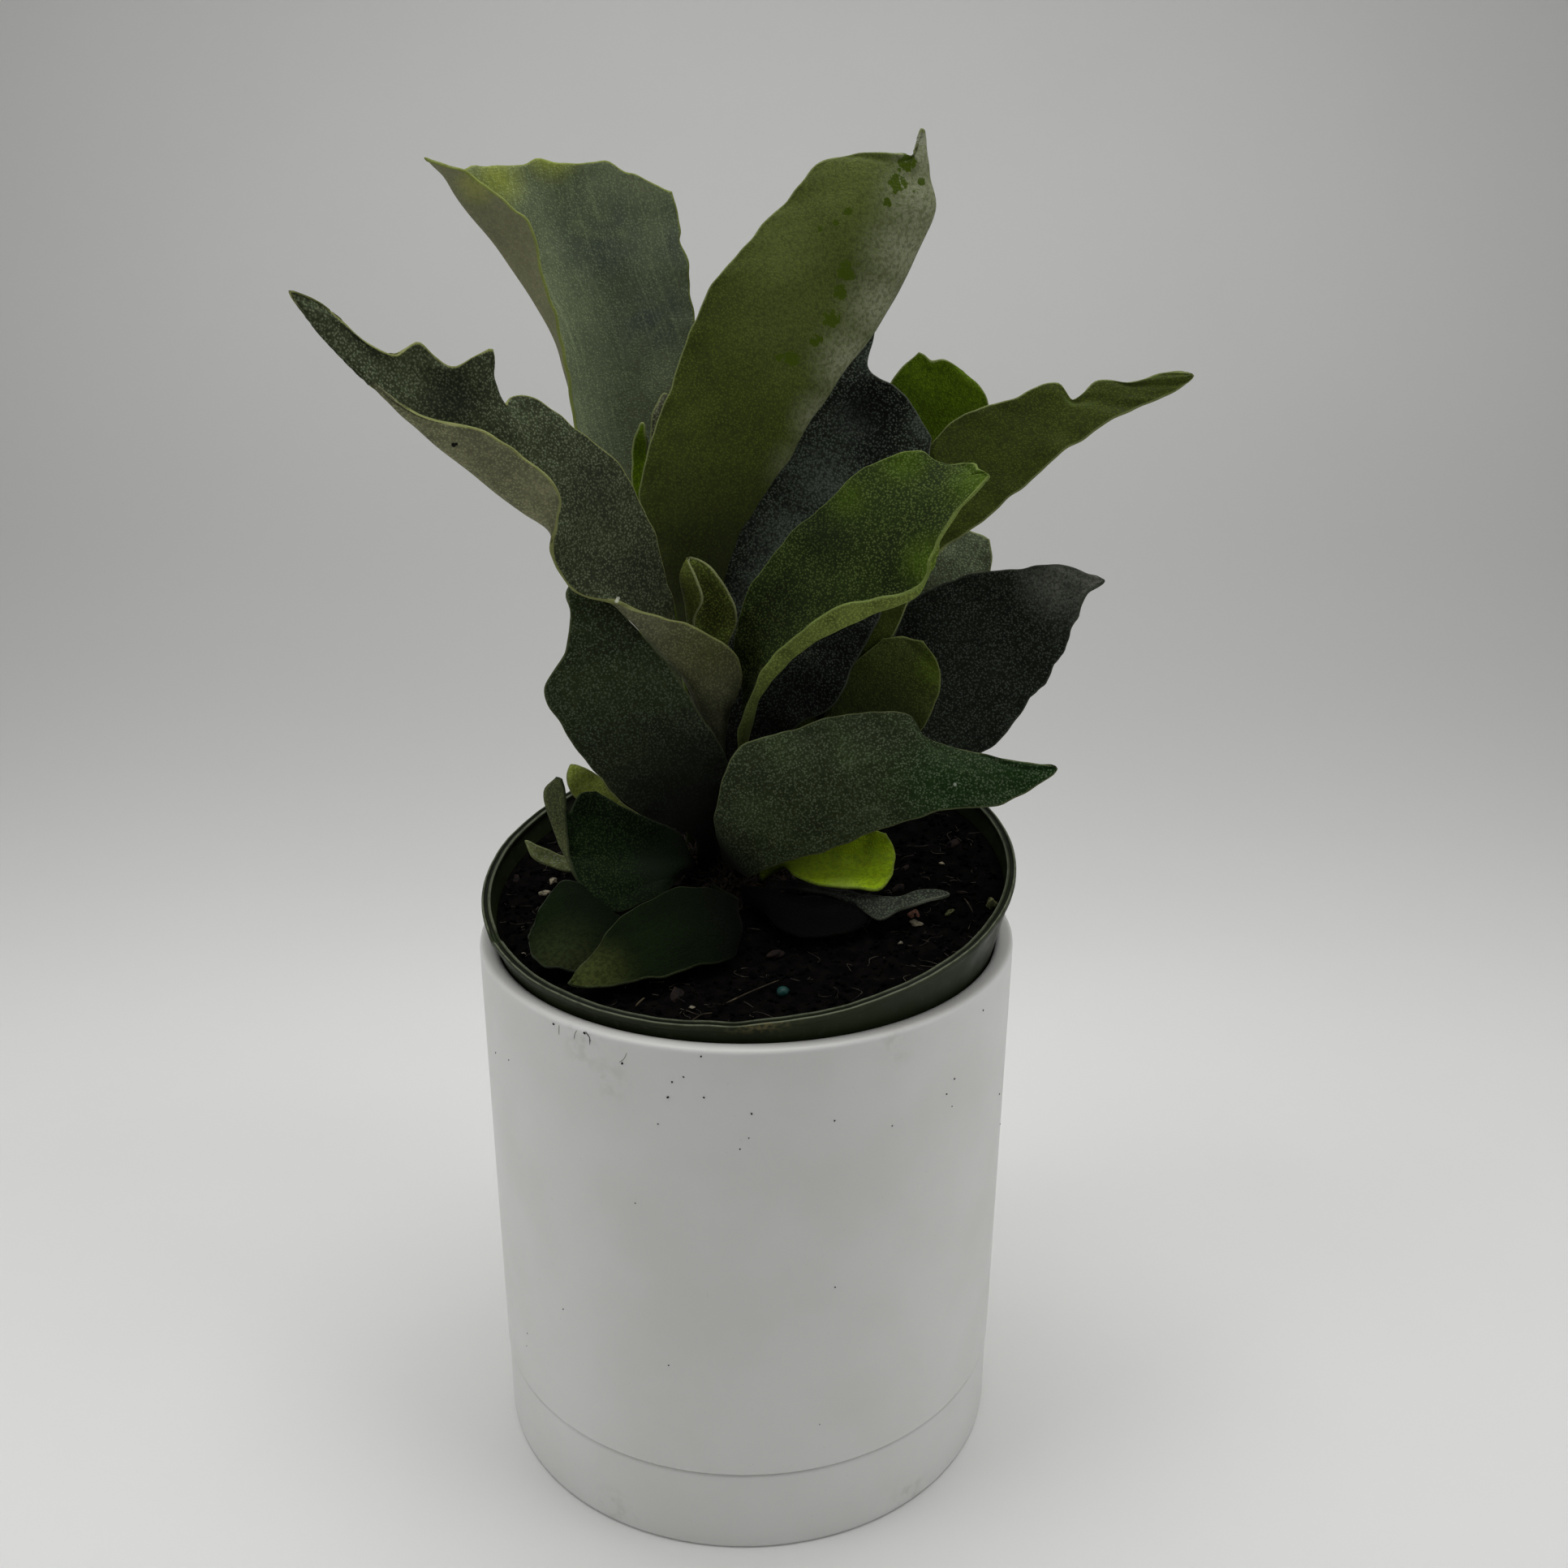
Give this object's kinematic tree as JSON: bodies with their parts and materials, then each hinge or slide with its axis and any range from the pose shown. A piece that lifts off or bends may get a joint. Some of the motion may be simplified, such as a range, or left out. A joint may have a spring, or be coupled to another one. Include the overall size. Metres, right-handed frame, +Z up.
{
  "type": "potted staghorn fern",
  "caption": "Young staghorn fern with waved leathery fronds, in a thin nursery pot wedged askew in a white ceramic cylinder planter on its saucer.",
  "frame": {"origin": "middle of the saucer's underside, on the surface that the plant stands on", "axes": "+Z up; +X to the right and +Y away from someone who faces the plant as in the picture"},
  "size_m": [0.1855, 0.1306, 0.3141],
  "materials": {
    "white_ceramic": "matte white",
    "green_plastic": "satin, dark olive green",
    "peat": "rough, near black, moist",
    "crown_scales": "rough, papery brown",
    "frond_green": "matte, with a pale felt of fine hairs",
    "frond_dark": "matte, dark blue green, with pale hairs",
    "frond_young": "matte, yellow green",
    "frond_pale": "matte, olive green undersides"
  },
  "bodies": {
    "root": {"saucer": "white_ceramic", "ceramic_pot": "white_ceramic", "nursery_pot": "green_plastic", "soil": "peat", "crown": "crown_scales", "frond_back_left": "frond_green", "frond_back_center": "frond_pale", "frond_dark_center": "frond_dark", "frond_front_center": "frond_green", "frond_left_forked": "frond_dark", "frond_front_right": "frond_dark", "frond_right_upper": "frond_pale", "frond_right_small_back": "frond_young", "frond_right_dark": "frond_dark", "frond_right_mid_back": "frond_pale", "frond_right_small_round": "frond_green", "frond_front_left": "frond_dark", "frond_lower_left": "frond_dark", "frond_lower_left_back": "frond_young", "frond_left_small_curl": "frond_pale", "shield_left": "frond_pale", "shield_front": "frond_green", "shield_right_dark": "frond_dark", "frond_yellow_small": "frond_young", "frond_grey_small": "frond_pale", "bud_center": "frond_pale", "bud_back_left": "frond_young", "bud_back_right": "frond_pale"}
  },
  "joints": []
}
